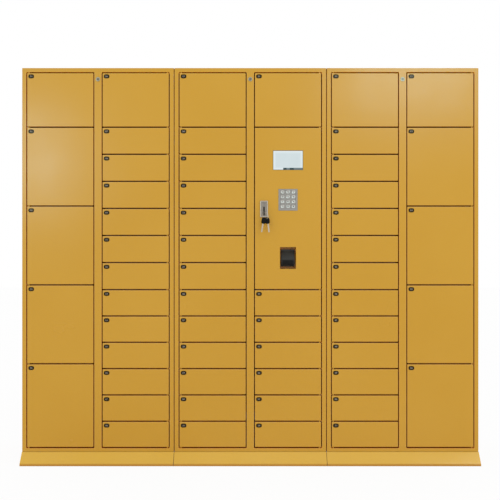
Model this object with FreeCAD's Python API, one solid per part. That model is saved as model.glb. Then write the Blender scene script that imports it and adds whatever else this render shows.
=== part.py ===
"""Smart parcel locker: three sheet-steel cabinets side by side on a sloped plinth skirt.

Each cabinet has two columns of doors with a fixed mullion between them. Behind the mullion runs a closed
channel with the electric locks. Doors hang on upright rods that turn in lugs welded to the outer stiles,
and a hook near each free edge enters its lock. One tall door carries the display, keypad and code scanner.

Frame: origin at the bottom centre, X to the right seen from the front, Y to the back, Z up. Millimetres.
"""

import FreeCAD
import Part
import os

# Bank of cabinets
module_count = 3
module_width = 801.6
cabinet_height = 2018.0
cabinet_depth = 500.0
plinth_height = 67.0
skirt_projection = 45.0
seam_gap = 0.8
seam_groove = 3.2
overrun = 2.0

# Sheet steel
panel_sheet = 1.2
back_sheet = 1.0
shelf_sheet = 1.0
door_sheet = 1.2
skirt_sheet = 1.5

# Front frame
stile_width = 23.1
frame_depth = 16.0
top_rail_height = 20.75
bottom_rail_height = 17.75
mullion_width = 38.2
frame_corner_radius = 4.0
frame_bend_radius = 2.5

# Inside of a cabinet
channel_width = 72.0
inner_setback = 24.0
shelf_lip_height = 14.0
anchor_spacing = 600.0
anchor_drop = 110.0
anchor_hole_radius = 5.5

# Doors
door_gap = 5.0
row_gap = 6.5
door_depth = 20.0
door_edge_bend = 1.2
door_corner_radius = 3.0
top_door_pitch = 287.0
upper_small_pitch = 142.5
large_door_pitch = 415.0
upper_small_count = 6
lower_small_count = 6
large_door_count = 3
bank_door_count = 3

# Door pivots
rod_radius = 2.2
rod_end_gap = 0.3
pivot_inset = 8.5
pivot_setback = 6.0
bore_clearance = 0.05
lug_clearance = 0.4
lug_wall = 1.3
lug_arm_depth = 5.0
relief_gap = 0.6

# Door hooks and electric locks
hook_thickness = 2.5
hook_height = 14.0
hook_edge_gap = 2.5
hook_barb = 4.0
hook_notch = 5.0
hook_notch_depth = 8.0
lock_thickness = 14.0
lock_depth = 62.0
lock_height = 44.0
lock_setback = 26.0
lock_mouth_depth = 18.0
lock_mouth_clearance = 2.5

# Parts inside the channels
board_width = 52.0
board_height = 320.0
board_sheet = 1.6
board_standoff = 10.0
standoff_size = 8.0
board_centre_height = 1050.0
supply_width = 54.0
supply_depth = 150.0
supply_height = 190.0
supply_setback = 120.0
gland_radius = 11.0
gland_flange_radius = 16.0
gland_flange = 4.0
gland_bore_radius = 6.0
gland_drop = 22.0
gland_neck = 10.0
gland_back_gap = 60.0

# Emergency cam locks in the mullions
cam_lock_drop = 58.6
cam_flange_radius = 11.3
cam_flange = 2.0
cam_barrel_radius = 9.0
cam_barrel_length = 24.0
cam_plug_radius = 6.5
cam_plug_lead = 0.8
cam_plug_tail = 2.0
cam_keyway_width = 1.8
cam_keyway_height = 8.0
cam_keyway_depth = 3.0
cam_arm_length = 26.0
cam_arm_width = 13.0
cam_arm_sheet = 3.0

# Control door fittings
display_width = 158.7
display_height = 103.2
display_drop = 170.65
display_glass_sheet = 3.0
display_glass_recess = 0.4
display_edge_gap = 0.5
display_border = 10.0
display_depth = 30.0
keypad_width = 100.2
keypad_height = 113.2
keypad_drop = 378.75
keypad_sheet = 2.0
keypad_window_margin = 5.0
key_width = 19.4
key_height = 18.0
key_corner_radius = 4.0
key_pitch_across = 28.4
key_pitch_down = 25.3
key_grid_rise = 2.9
key_clearance = 0.3
key_proud = 1.6
key_tail = 4.0
key_columns = 3
key_rows = 4
scan_pocket_width = 84.8
scan_pocket_height = 115.3
scan_pocket_depth = 56.0
scan_pocket_drop = 685.15
scanner_width = 71.0
scanner_height = 90.4
scanner_ridge_rise = 39.9
scanner_ridge_recess = 3.0
scanner_top_recess = 30.0
scanner_bottom_recess = 22.0
scanner_brow_height = 9.0
scan_window_sheet = 1.0
scan_window_margin = 7.0
computer_width = 180.0
computer_height = 130.0
computer_depth = 30.0
computer_fin_count = 8
computer_fin_height = 10.0
computer_fin_sheet = 2.0
computer_drop = 298.75

# Lock and pull flap on the control door
case_width = 41.0
case_height = 87.0
case_proud = 9.0
case_corner_radius = 4.0
case_edge_radius = 2.0
case_inset = 48.0
case_drop = 427.75
case_plug_drop = 22.0
case_panel_recess = 0.8
case_panel_drop = 34.0
case_barrel_radius = 10.0
case_barrel_length = 14.0
case_barrel_clearance = 0.3
flap_width = 29.5
flap_height = 49.0
flap_sheet = 5.0
flap_edge_gap = 0.6
flap_top_margin = 5.0
flap_pin_radius = 1.5
flap_pin_reach = 2.5
flap_pin_margin = 2.5
flap_swing_room = 1.2
flap_notch_width = 9.0
flap_notch_height = 22.0
plug_radius = 6.0
plug_tail = 21.2
plug_arm_length = 57.0
plug_arm_width = 12.0
plug_arm_sheet = 2.2
keyway_width = 2.4
keyway_height = 8.4
keyway_depth = 26.0

# Keys on their ring
key_head_top = 17.0
key_head_bottom = 22.0
key_head_length = 33.0
key_head_sheet = 5.4
key_head_corner = 5.0
key_hole_radius = 4.5
key_hole_drop = 7.5
key_blade_width = 7.6
key_blade_sheet = 2.0
key_blade_length = 44.0
key_insert_gap = 2.0
spare_head_gap = 0.4
ring_radius = 16.0
ring_wire_radius = 0.9
ring_groove_gap = 0.15
ring_side_shift = 8.0
ring_seat_gap = 0.65
spare_key_spread = 10.4
spare_key_tilts_deg = (9.0, -6.0)

# Plinth skirt and feet
skirt_shadow_gap = 1.5
skirt_joint_width = 30.0
skirt_lip_height = 10.0
skirt_floor_gap = 2.0
skirt_flange = 30.0
foot_radius = 20.0
foot_pad_height = 12.0
foot_stem_radius = 6.0
foot_inset = 60.0

# Derived places
sides = (-1, 1)
touch = panel_sheet / 1000
total_depth = cabinet_depth + skirt_projection
front_y = -total_depth / 2
face_y = front_y + skirt_projection
back_y = total_depth / 2
base_z = plinth_height
top_z = plinth_height + cabinet_height
half_module = module_width / 2
half_body = half_module - seam_gap / 2
half_front = half_module - seam_groove / 2
opening_near = mullion_width / 2
opening_far = half_module - stile_width
opening_low = base_z + bottom_rail_height
opening_high = top_z - top_rail_height
door_near = opening_near + door_gap
door_far = opening_far - door_gap
door_inner_y = face_y + door_sheet
door_rear_y = face_y + door_depth
line_low = opening_low + row_gap / 2
line_high = opening_high - row_gap / 2
door_zone = line_high - line_low
control_pitch = upper_small_pitch * upper_small_count
lower_small_pitch = (door_zone - top_door_pitch - control_pitch) / lower_small_count
base_large_pitch = door_zone - top_door_pitch - large_door_pitch * large_door_count
frame_rear_y = face_y + frame_depth
inner_back_y = back_y - back_sheet
inner_front_y = face_y + inner_setback
floor_z = base_z + panel_sheet
ceiling_z = top_z - panel_sheet
channel_half = channel_width / 2
channel_face = channel_half + panel_sheet
side_face = half_body - panel_sheet
pivot_near = door_far - pivot_inset
pivot_y = face_y + pivot_setback
rod_reach = (row_gap - rod_end_gap) / 2
lug_half = rod_radius + lug_wall
hook_near = door_near + door_sheet + hook_edge_gap
lock_front_y = face_y + lock_setback
hook_tip_y = lock_front_y + lock_mouth_depth - lock_mouth_clearance

# Columns of doors, from the top down: each group of pitches swings as one body
tall_groups = [[top_door_pitch]] + [[large_door_pitch]] * large_door_count + [[base_large_pitch]]
upper_banks = [[upper_small_pitch] * bank_door_count] * (upper_small_count // bank_door_count)
lower_banks = [[lower_small_pitch] * bank_door_count] * (lower_small_count // bank_door_count)
small_groups = [[top_door_pitch]] + upper_banks + lower_banks
control_groups = [[top_door_pitch]] + [[control_pitch]] + lower_banks
columns = (
    ("a", 0, -1, tall_groups),
    ("b", 0, 1, small_groups),
    ("c", 1, -1, small_groups),
    ("d", 1, 1, control_groups),
    ("e", 2, -1, small_groups),
    ("f", 2, 1, tall_groups),
)
control_column = "d"
control_group = 1


def vec(x, y, z):
    """A point or direction."""
    return FreeCAD.Vector(x, y, z)


def box(x0, x1, y0, y1, z0, z1):
    """A block between two limits on each axis."""
    return Part.makeBox(x1 - x0, y1 - y0, z1 - z0, vec(x0, y0, z0))


def half_box(centre, side, near, far, y0, y1, z0, z1):
    """A block on one side of a cabinet, measured outwards from the cabinet's centre."""
    x0, x1 = sorted((centre + side * near, centre + side * far))
    return box(x0, x1, y0, y1, z0, z1)


def round_bar(radius, start, end):
    """A cylinder from one point to another."""
    along = end - start
    return Part.makeCylinder(radius, along.Length, start, along)


def prism(points, direction):
    """A flat outline carried along a direction."""
    return Part.Face(Part.makePolygon(points + points[:1])).extrude(direction)


def centre_of(module):
    """The X of a cabinet's centre line."""
    return (module - (module_count - 1) / 2) * module_width


def lies_at(edge, axis, place):
    """Whether the whole edge lies at one place on one axis."""
    return all(abs(getattr(vertex, axis) - place) < touch for vertex in edge.Vertexes)


def edges_along(shape, axis):
    """The straight edges that run along one axis."""
    others = [name for name in ("X", "Y", "Z") if name != axis]
    found = []
    for edge in shape.Edges:
        start = edge.Vertexes[0]
        if all(lies_at(edge, name, getattr(start, name)) for name in others):
            found.append(edge)
    return found


def edges_at(shape, axis, place):
    """The edges that lie in one plane."""
    return [edge for edge in shape.Edges if lies_at(edge, axis, place)]


def save(name, solids):
    """Write one sub-part with all its solids."""
    Part.makeCompound(solids).exportStep(os.path.join("parts", name + ".step"))


def column_spans(groups):
    """For each group the (low, high) gap centre lines of its doors, from the top down."""
    spans = []
    high = line_high
    for group in groups:
        rows = []
        for pitch in group:
            rows.append((high - pitch, high))
            high = high - pitch
        spans.append(rows)
    return spans


def is_control(letter, index):
    """Whether a group is the control door."""
    return letter == control_column and index == control_group


def frame_opening(centre, side, corner_radius):
    """One door opening of a cabinet as a block with rounded corners."""
    block = half_box(centre, side, opening_near, opening_far, face_y - overrun, frame_rear_y + overrun,
                     opening_low, opening_high)
    return block.makeFillet(corner_radius, edges_along(block, "Y"))


def front_corners(bar, outer_places):
    """Round the bar's upright front edges at the cabinet's outer corners."""
    picked = []
    for edge in edges_at(bar, "Y", face_y):
        if any(lies_at(edge, "X", place) for place in outer_places):
            picked.append(edge)
    return bar.makeFillet(frame_bend_radius, picked)


def front_frame(centre):
    """Closed folded sections: two rails across, two stiles and the mullion between them."""
    outer = (centre - half_front, centre + half_front)
    low = opening_low + frame_corner_radius
    high = opening_high - frame_corner_radius
    bars = []
    for z0, z1 in ((base_z, low), (high, top_z)):
        rail = front_corners(box(*outer, face_y, frame_rear_y, z0, z1), outer)
        for side in sides:
            rail = rail.cut(frame_opening(centre, side, frame_corner_radius))
        bars.append(rail)
    for side in sides:
        stile = half_box(centre, side, opening_far, half_front, face_y, frame_rear_y, low, high)
        bars.append(front_corners(stile, outer))
    mullion = box(centre - opening_near, centre + opening_near, face_y, frame_rear_y, low, high)
    lock_z = top_z - cam_lock_drop
    bore = round_bar(cam_barrel_radius, vec(centre, face_y - overrun, lock_z),
                     vec(centre, frame_rear_y + overrun, lock_z))
    bars.append(mullion.cut(bore))
    return bars


def back_panel(centre):
    """Back sheet with two wall anchor holes."""
    panel = box(centre - half_body, centre + half_body, inner_back_y, back_y, base_z, top_z)
    anchor_z = top_z - anchor_drop
    for side in sides:
        anchor_x = centre + side * anchor_spacing / 2
        hole = round_bar(anchor_hole_radius, vec(anchor_x, inner_back_y - overrun, anchor_z),
                         vec(anchor_x, back_y + overrun, anchor_z))
        panel = panel.cut(hole)
    return panel


def cabinet(centre, has_inlet):
    """One welded cabinet: frame, sides, top, floor, back and the two walls of the lock channel."""
    solids = front_frame(centre)
    for side in sides:
        solids.append(half_box(centre, side, side_face, half_body, frame_rear_y, inner_back_y,
                               floor_z, ceiling_z))
        solids.append(half_box(centre, side, channel_half, channel_face, inner_front_y, inner_back_y,
                               floor_z, ceiling_z))
    solids.append(box(centre - half_body, centre + half_body, frame_rear_y, inner_back_y, ceiling_z, top_z))
    floor = box(centre - half_body, centre + half_body, frame_rear_y, inner_back_y, base_z, floor_z)
    if has_inlet:
        inlet_y = inner_back_y - gland_back_gap
        floor = floor.cut(round_bar(gland_radius, vec(centre, inlet_y, base_z - overrun),
                                    vec(centre, inlet_y, floor_z + overrun)))
    solids.append(floor)
    solids.append(back_panel(centre))
    return solids


def shelf(centre, side, level):
    """A flat shelf with a stiffening lip under its front edge."""
    top = level + shelf_sheet / 2
    under = level - shelf_sheet / 2
    plate = half_box(centre, side, channel_face, side_face, inner_front_y, inner_back_y, under, top)
    lip = half_box(centre, side, channel_face, side_face, inner_front_y, inner_front_y + shelf_sheet,
                   under - shelf_lip_height, under)
    return [plate, lip]


def hinge_lug(centre, side, opening, level, bored):
    """An eye on a set-back arm in the gap between two doors: bored between bodies, open inside a bank."""
    low = level - row_gap / 2 + lug_clearance
    high = level + row_gap / 2 - lug_clearance
    pivot_x = centre + side * pivot_near
    inner = pivot_near - rod_radius
    eye = round_bar(lug_half, vec(pivot_x, pivot_y, low), vec(pivot_x, pivot_y, high))
    neck = half_box(centre, side, inner, pivot_near + rod_radius, pivot_y, frame_rear_y, low, high)
    arm = half_box(centre, side, inner, opening_far, frame_rear_y - lug_arm_depth, frame_rear_y, low, high)
    lug = eye.fuse(neck).fuse(arm).common(opening)
    bore = rod_radius + bore_clearance
    cutter = round_bar(bore, vec(pivot_x, pivot_y, level - row_gap), vec(pivot_x, pivot_y, level + row_gap))
    if not bored:
        slot = half_box(centre, side, inner - overrun, pivot_near, pivot_y - bore, pivot_y + bore,
                        level - row_gap, level + row_gap)
        cutter = cutter.fuse(slot)
    return lug.cut(cutter).removeSplitter()


def door_leaf(centre, side, z0, z1):
    """A door pan folded from sheet, open at the back, with corner reliefs for the hinge rod."""
    block = half_box(centre, side, door_near, door_far, face_y, door_rear_y, z0, z1)
    block = block.makeFillet(door_corner_radius, edges_along(block, "Y"))
    bent = block.makeChamfer(door_edge_bend, edges_at(block, "Y", face_y))
    hollow = half_box(centre, side, door_near + door_sheet, door_far - door_sheet, door_inner_y,
                      door_rear_y + overrun, z0 + door_sheet, z1 - door_sheet)
    hollow = hollow.makeFillet(door_corner_radius - door_sheet, edges_along(hollow, "Y"))
    leaf = bent.cut(hollow)
    room = rod_radius + relief_gap
    for low, high in ((z0 - overrun, z0 + door_sheet), (z1 - door_sheet, z1 + overrun)):
        leaf = leaf.cut(half_box(centre, side, pivot_near - room, pivot_near + room, pivot_y - room,
                                 door_rear_y + overrun, low, high))
    return leaf


def hinge_rod(centre, side, z0, z1):
    """The upright rod set into the folds near the hinge edge, whose ends turn in the lugs."""
    pivot_x = centre + side * pivot_near
    return round_bar(rod_radius, vec(pivot_x, pivot_y, z0 - rod_reach), vec(pivot_x, pivot_y, z1 + rod_reach))


def door_hook(centre, side, middle):
    """The latch hook that stands on the inside of the door skin near the free edge."""
    x = centre + side * hook_near
    half = hook_height / 2
    notch_end = hook_tip_y - hook_barb
    notch_start = notch_end - hook_notch
    outline = [
        vec(x, door_inner_y, middle - half),
        vec(x, door_inner_y, middle + half),
        vec(x, hook_tip_y, middle + half),
        vec(x, hook_tip_y, middle - half),
        vec(x, notch_end, middle - half),
        vec(x, notch_end, middle - half + hook_notch_depth),
        vec(x, notch_start, middle - half + hook_notch_depth),
        vec(x, notch_start, middle - half),
    ]
    return prism(outline, vec(side * hook_thickness, 0, 0))


def electric_lock(centre, side, middle):
    """A lock body on the channel wall with a mouth for the door's hook."""
    x = centre + side * (channel_half - lock_thickness)
    half = lock_height / 2
    mouth = hook_height / 2 + lock_mouth_clearance
    rear_y = lock_front_y + lock_depth
    mouth_y = lock_front_y + lock_mouth_depth
    outline = [
        vec(x, lock_front_y, middle - half),
        vec(x, rear_y, middle - half),
        vec(x, rear_y, middle + half),
        vec(x, lock_front_y, middle + half),
        vec(x, lock_front_y, middle + mouth),
        vec(x, mouth_y, middle + mouth),
        vec(x, mouth_y, middle - mouth),
        vec(x, lock_front_y, middle - mouth),
    ]
    return prism(outline, vec(side * lock_thickness, 0, 0))


def lock_board(centre):
    """A lock controller board on four standoffs on the back panel."""
    z0 = board_centre_height - board_height / 2
    z1 = board_centre_height + board_height / 2
    seat_y = inner_back_y - board_standoff
    solids = [box(centre - board_width / 2, centre + board_width / 2, seat_y - board_sheet, seat_y, z0, z1)]
    for side in sides:
        for z in (z0, z1 - standoff_size):
            solids.append(half_box(centre, side, board_width / 2 - standoff_size, board_width / 2, seat_y,
                                   inner_back_y, z, z + standoff_size))
    return solids


def power_supply(centre):
    """The supply's case on the channel floor."""
    y0 = face_y + supply_setback
    return [box(centre - supply_width / 2, centre + supply_width / 2, y0, y0 + supply_depth,
                floor_z, floor_z + supply_height)]


def cable_gland(centre):
    """The mains inlet in the floor of the middle channel: flange inside, neck down into the plinth."""
    y = inner_back_y - gland_back_gap
    flange = round_bar(gland_flange_radius, vec(centre, y, floor_z), vec(centre, y, floor_z + gland_flange))
    neck = round_bar(gland_radius, vec(centre, y, base_z - gland_drop),
                     vec(centre, y, floor_z + gland_flange + gland_neck))
    bore = round_bar(gland_bore_radius, vec(centre, y, base_z - gland_drop - overrun),
                     vec(centre, y, floor_z + gland_flange + gland_neck + overrun))
    return [neck.fuse(flange).cut(bore).removeSplitter()]


def cam_housing(centre):
    """The fixed flange and barrel of an emergency lock in a mullion."""
    z = top_z - cam_lock_drop
    flange = round_bar(cam_flange_radius, vec(centre, face_y - cam_flange, z), vec(centre, face_y, z))
    barrel = round_bar(cam_barrel_radius, vec(centre, face_y - cam_flange, z),
                       vec(centre, face_y + cam_barrel_length, z))
    bore = round_bar(cam_plug_radius + bore_clearance, vec(centre, face_y - cam_flange - overrun, z),
                     vec(centre, face_y + cam_barrel_length + overrun, z))
    return flange.fuse(barrel).cut(bore).removeSplitter()


def cam_plug(centre):
    """The turning plug of an emergency lock with its keyway and its cam arm, hanging in the open position."""
    z = top_z - cam_lock_drop
    front = face_y - cam_flange - cam_plug_lead
    rear = face_y + cam_barrel_length + cam_plug_tail
    plug = round_bar(cam_plug_radius, vec(centre, front, z), vec(centre, rear, z))
    plug = plug.cut(box(centre - cam_keyway_width / 2, centre + cam_keyway_width / 2, front - overrun,
                        front + cam_keyway_depth, z - cam_keyway_height / 2, z + cam_keyway_height / 2))
    arm = box(centre - cam_arm_width / 2, centre + cam_arm_width / 2, rear, rear + cam_arm_sheet,
              z - cam_arm_length, z + cam_plug_radius)
    return [plug, arm]


def skirt(centre):
    """The bent plinth plate of one cabinet: lip, slope, flange and an upstand under the cabinet floor."""
    knee_z = skirt_floor_gap + skirt_lip_height
    brow_z = base_z - skirt_shadow_gap
    rear_y = face_y + skirt_flange
    x = centre - half_body
    outline = [
        vec(x, front_y, skirt_floor_gap),
        vec(x, front_y, knee_z),
        vec(x, face_y, brow_z),
        vec(x, rear_y - skirt_sheet, brow_z),
        vec(x, rear_y - skirt_sheet, base_z),
        vec(x, rear_y, base_z),
        vec(x, rear_y, brow_z - skirt_sheet),
        vec(x, face_y + skirt_sheet, brow_z - skirt_sheet),
        vec(x, front_y + skirt_sheet, knee_z - skirt_sheet),
        vec(x, front_y + skirt_sheet, skirt_floor_gap),
    ]
    return prism(outline, vec(2 * half_body, 0, 0))


def skirt_joint(x):
    """The strip that backs the seam between two plinth plates, along their lip and slope."""
    knee_z = skirt_floor_gap + skirt_lip_height
    brow_z = base_z - skirt_shadow_gap
    left = x - skirt_joint_width / 2
    outline = [
        vec(left, front_y + skirt_sheet, skirt_floor_gap),
        vec(left, front_y + skirt_sheet, knee_z - skirt_sheet),
        vec(left, face_y + skirt_sheet, brow_z - skirt_sheet),
        vec(left, face_y + 2 * skirt_sheet, brow_z - 2 * skirt_sheet),
        vec(left, front_y + 2 * skirt_sheet, knee_z - 2 * skirt_sheet),
        vec(left, front_y + 2 * skirt_sheet, skirt_floor_gap),
    ]
    return prism(outline, vec(skirt_joint_width, 0, 0))


def skirt_end(side):
    """The upright plate that closes the plinth on an outer side, behind the end of the bent plate."""
    edge = side * ((module_count - 1) / 2 * module_width + half_body)
    knee_z = skirt_floor_gap + skirt_lip_height
    brow_z = base_z - skirt_shadow_gap
    outline = [
        vec(edge, front_y + skirt_sheet, skirt_floor_gap),
        vec(edge, front_y + skirt_sheet, knee_z - skirt_sheet),
        vec(edge, face_y + skirt_sheet, brow_z - skirt_sheet),
        vec(edge, face_y + skirt_flange, brow_z - skirt_sheet),
        vec(edge, face_y + skirt_flange, base_z),
        vec(edge, back_y, base_z),
        vec(edge, back_y, skirt_floor_gap),
    ]
    return prism(outline, vec(-side * skirt_sheet, 0, 0))


def levelling_foot(x, y):
    """A screw foot between the floor and the cabinet's underside."""
    pad = round_bar(foot_radius, vec(x, y, 0), vec(x, y, foot_pad_height))
    stem = round_bar(foot_stem_radius, vec(x, y, 0), vec(x, y, base_z))
    return pad.fuse(stem).removeSplitter()


control_module = columns[3][1]
control_centre = centre_of(control_module)
control_low, control_high = column_spans(control_groups)[control_group][0]
control_top = control_high - row_gap / 2
control_bottom = control_low + row_gap / 2
panel_x = control_centre + (door_near + door_far) / 2
display_z = control_top - display_drop
keypad_z = control_top - keypad_drop
key_grid_z = keypad_z + key_grid_rise
scan_z = control_top - scan_pocket_drop
case_x = control_centre + door_near + case_inset
case_z = control_top - case_drop
plug_z = case_z - case_plug_drop
case_front_y = face_y - case_proud
flap_high = case_z + case_height / 2 - flap_top_margin
flap_low = flap_high - flap_height
flap_front_y = case_front_y + case_panel_recess
flap_pin_y = flap_front_y + flap_sheet / 2
flap_pin_z = flap_high - flap_pin_margin


def centred(x, width, y0, y1, z, height):
    """A block centred on a point of the door face."""
    return box(x - width / 2, x + width / 2, y0, y1, z - height / 2, z + height / 2)


def rounded(block, radius):
    """The block with its four edges across the door rounded."""
    return block.makeFillet(radius, edges_along(block, "Y"))


def control_leaf():
    """The control door's pan with its cut-outs, the welded scanner pocket and the hinge rod."""
    leaf = door_leaf(control_centre, 1, control_bottom, control_top)
    y0 = face_y - overrun
    y1 = door_inner_y + overrun
    leaf = leaf.cut(centred(panel_x, display_width, y0, y1, display_z, display_height))
    leaf = leaf.cut(centred(panel_x, keypad_width - 2 * keypad_window_margin, y0, y1, keypad_z,
                            keypad_height - 2 * keypad_window_margin))
    leaf = leaf.cut(centred(panel_x, scan_pocket_width, y0, y1, scan_z, scan_pocket_height))
    leaf = leaf.cut(round_bar(case_barrel_radius + case_barrel_clearance, vec(case_x, y0, plug_z),
                              vec(case_x, y1, plug_z)))
    rear = door_inner_y + scan_pocket_depth
    shell = centred(panel_x, scan_pocket_width + 2 * door_sheet, door_inner_y, rear + door_sheet, scan_z,
                    scan_pocket_height + 2 * door_sheet)
    pocket = shell.cut(centred(panel_x, scan_pocket_width, door_inner_y - overrun, rear, scan_z,
                               scan_pocket_height))
    return [leaf, pocket, hinge_rod(control_centre, 1, control_bottom, control_top)]


def display_housing():
    """The display's case behind the door skin, with a seat for its glass."""
    case = centred(panel_x, display_width + 2 * display_border, door_inner_y, door_inner_y + display_depth,
                   display_z, display_height + 2 * display_border)
    seat_y = face_y + display_glass_recess + display_glass_sheet
    seat = centred(panel_x, display_width, door_inner_y - overrun, seat_y, display_z, display_height)
    return case.cut(seat)


def display_glass():
    """The display's front glass, just below the door skin."""
    front = face_y + display_glass_recess
    return centred(panel_x, display_width - 2 * display_edge_gap, front, front + display_glass_sheet,
                   display_z, display_height - 2 * display_edge_gap)


def key_block(column, row, grow, y0, y1):
    """The rounded block of one key, or of its hole when grown by the clearance."""
    x = panel_x + (column - (key_columns - 1) / 2) * key_pitch_across
    z = key_grid_z - (row - (key_rows - 1) / 2) * key_pitch_down
    block = centred(x, key_width + 2 * grow, y0, y1, z, key_height + 2 * grow)
    return rounded(block, key_corner_radius + grow)


def keypad_plate():
    """The keypad's metal plate on the door skin with a hole for every key."""
    front = face_y - keypad_sheet
    plate = centred(panel_x, keypad_width, front, face_y, keypad_z, keypad_height)
    for row in range(key_rows):
        for column in range(key_columns):
            plate = plate.cut(key_block(column, row, key_clearance, front - overrun, face_y + overrun))
    return plate


def keypad_row(row):
    """One row of keys, standing a little proud of the plate."""
    front = face_y - keypad_sheet - key_proud
    return [key_block(column, row, 0, front, face_y + key_tail) for column in range(key_columns)]


def scanner():
    """The code scanner's body, with two sloped faces that meet in a ridge, and the window on one of them."""
    rear = door_inner_y + scan_pocket_depth
    low = scan_z - scanner_height / 2
    high = scan_z + scanner_height / 2
    x0 = panel_x - scanner_width / 2
    toe = vec(x0, face_y + scanner_bottom_recess, low)
    ridge = vec(x0, face_y + scanner_ridge_recess, low + scanner_ridge_rise)
    brow = vec(x0, face_y + scanner_top_recess, high - scanner_brow_height)
    outline = [
        vec(x0, rear, low),
        toe,
        ridge,
        brow,
        vec(x0, face_y + scanner_top_recess, high),
        vec(x0, rear, high),
    ]
    body = prism(outline, vec(scanner_width, 0, 0))
    slope = (ridge - toe).normalize()
    out = vec(0, -slope.z, slope.y)
    inset = vec(scan_window_margin, 0, 0)
    foot = toe + slope * scan_window_margin + inset
    head = ridge - slope * scan_window_margin + inset
    outer = out * scan_window_sheet
    window = prism([foot, head, head + outer, foot + outer],
                   vec(scanner_width - 2 * scan_window_margin, 0, 0))
    return body, window


def control_computer():
    """The controller on the back panel behind the control door, with cooling fins."""
    z = control_top - computer_drop
    front = inner_back_y - computer_depth
    body = centred(panel_x, computer_width, front, inner_back_y, z, computer_height)
    pitch = computer_width / computer_fin_count
    for index in range(computer_fin_count):
        fin_x = panel_x + (index - (computer_fin_count - 1) / 2) * pitch
        fin = centred(fin_x, computer_fin_sheet, front - computer_fin_height, front, z, computer_height)
        body = body.fuse(fin)
    return body.removeSplitter()


def lock_case():
    """The cast lock case on the control door: flap recess above, key barrel below."""
    block = centred(case_x, case_width, case_front_y, face_y, case_z, case_height)
    block = rounded(block, case_corner_radius)
    block = block.makeFillet(case_edge_radius, edges_at(block, "Y", case_front_y))
    barrel = round_bar(case_barrel_radius, vec(case_x, face_y, plug_z),
                       vec(case_x, face_y + case_barrel_length, plug_z))
    block = block.fuse(barrel)
    pocket_top = flap_pin_z + flap_sheet / 2 + flap_swing_room
    half = flap_width / 2 + flap_edge_gap
    recess = box(case_x - half, case_x + half, case_front_y - overrun,
                 flap_front_y + flap_sheet + flap_swing_room, flap_low - flap_edge_gap, pocket_top)
    panel = box(case_x - half, case_x + half, case_front_y - overrun, flap_front_y,
                case_z - case_panel_drop, pocket_top)
    pin_hole = flap_width / 2 + flap_pin_reach + bore_clearance
    bore = round_bar(flap_pin_radius + bore_clearance, vec(case_x - pin_hole, flap_pin_y, flap_pin_z),
                     vec(case_x + pin_hole, flap_pin_y, flap_pin_z))
    plug_bore = round_bar(plug_radius + bore_clearance, vec(case_x, case_front_y - overrun, plug_z),
                          vec(case_x, face_y + case_barrel_length + overrun, plug_z))
    return block.cut(recess).cut(panel).cut(bore).cut(plug_bore).removeSplitter()


def pull_flap():
    """The finger flap with a notch at its foot and its hinge pin."""
    plate = box(case_x - flap_width / 2, case_x + flap_width / 2, flap_front_y, flap_front_y + flap_sheet,
                flap_low, flap_high)
    notch = box(case_x - flap_notch_width / 2, case_x + flap_notch_width / 2, flap_front_y - overrun,
                flap_front_y + flap_sheet + overrun, flap_low - overrun, flap_low + flap_notch_height)
    plate = plate.cut(notch)
    reach = flap_width / 2 + flap_pin_reach
    pin = round_bar(flap_pin_radius, vec(case_x - reach, flap_pin_y, flap_pin_z),
                    vec(case_x + reach, flap_pin_y, flap_pin_z))
    return plate.fuse(pin).removeSplitter()


def lock_plug():
    """The key plug with its keyway, and the cam arm behind the door in its open position."""
    rear = face_y + plug_tail
    plug = round_bar(plug_radius, vec(case_x, flap_front_y, plug_z), vec(case_x, rear, plug_z))
    keyway = centred(case_x, keyway_width, case_front_y - overrun, case_front_y + keyway_depth, plug_z,
                     keyway_height)
    arm = box(case_x - plug_arm_width / 2, case_x + plug_arm_width / 2, rear, rear + plug_arm_sheet,
              plug_z - plug_arm_length, plug_z + plug_radius)
    return [plug.cut(keyway), arm]


def key_head():
    """A key's plastic head hanging from its hole at the origin, facing the front."""
    top = key_hole_drop
    bottom = top - key_head_length
    half = key_head_sheet / 2
    outline = [
        vec(-key_head_top / 2, -half, top),
        vec(key_head_top / 2, -half, top),
        vec(key_head_bottom / 2, -half, bottom),
        vec(-key_head_bottom / 2, -half, bottom),
    ]
    head = prism(outline, vec(0, key_head_sheet, 0))
    uprights = [edge for edge in head.Edges if abs(edge.Length - key_head_sheet) < touch]
    head = head.makeFillet(key_head_corner, uprights)
    return head.cut(round_bar(key_hole_radius, vec(0, -key_head_sheet, 0), vec(0, key_head_sheet, 0)))


def key_blade(length):
    """A key's flat blade below its head."""
    bottom = key_hole_drop - key_head_length
    return box(-key_blade_width / 2, key_blade_width / 2, -key_blade_sheet / 2, key_blade_sheet / 2,
               bottom - length, bottom)


def turned(shape, axis, angle, place):
    """The shape turned about an axis through the origin and then moved."""
    copy = shape.copy()
    copy.rotate(vec(0, 0, 0), axis, angle)
    copy.translate(place)
    return copy


quarter_turn = 90.0
ring_y = case_front_y - key_insert_gap - (key_head_length - key_hole_drop)
ring_drop = (ring_radius ** 2 - ring_side_shift ** 2) ** 0.5
ring_slope = ring_side_shift / ring_drop
ring_slant = (1 + ring_slope ** 2) ** 0.5
ring_sag = key_hole_radius - ring_slope * key_head_sheet / 2 - ring_slant * ring_wire_radius - ring_seat_gap
ring_x = case_x + ring_side_shift
ring_z = plug_z - ring_sag - ring_drop


def inserted_key():
    """The key in the plug, its head seen edge-on from the front."""
    blade_length = key_insert_gap + keyway_depth - keyway_width
    solids = []
    for piece in (key_head(), key_blade(blade_length)):
        inward = turned(piece, vec(1, 0, 0), quarter_turn, vec(0, 0, 0))
        solids.append(turned(inward, vec(0, 1, 0), quarter_turn, vec(case_x, ring_y, plug_z)))
    return solids


def key_ring():
    """The split ring through the inserted key's hole."""
    return Part.makeTorus(ring_radius, ring_wire_radius, vec(ring_x, ring_y, ring_z), vec(0, 1, 0))


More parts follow.
